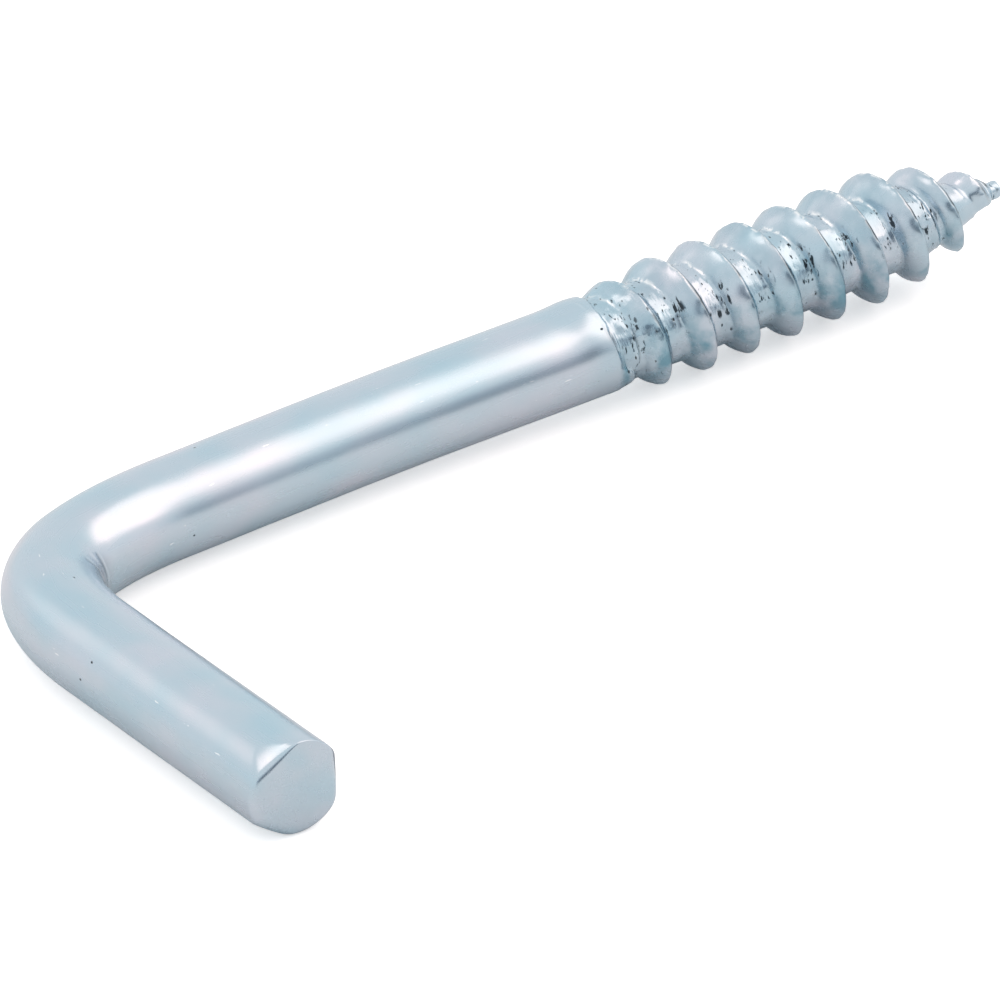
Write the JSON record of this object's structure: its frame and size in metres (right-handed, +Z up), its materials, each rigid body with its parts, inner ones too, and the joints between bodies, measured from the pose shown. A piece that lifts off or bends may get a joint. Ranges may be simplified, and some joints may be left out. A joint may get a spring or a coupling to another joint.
{
  "type": "screw-in hinge pin",
  "caption": "Zinc-plated wire hook bent square: a plain straight pin on one leg and a tapering wood-screw thread on the other.",
  "frame": {"origin": "on the pin's axis, at the seat, where the bend ends and the straight pin begins", "axes": "-Y along the pin to its cut end, +X along the shank to its point, +Z up out of the plane of the bend, with the part lying on its side"},
  "size_m": [0.0595, 0.0298, 0.0062],
  "materials": {
    "zinc_plate": "bright zinc plate over rolled steel wire"
  },
  "bodies": {
    "root": {"hinge_pin": "zinc_plate"}
  },
  "joints": []
}
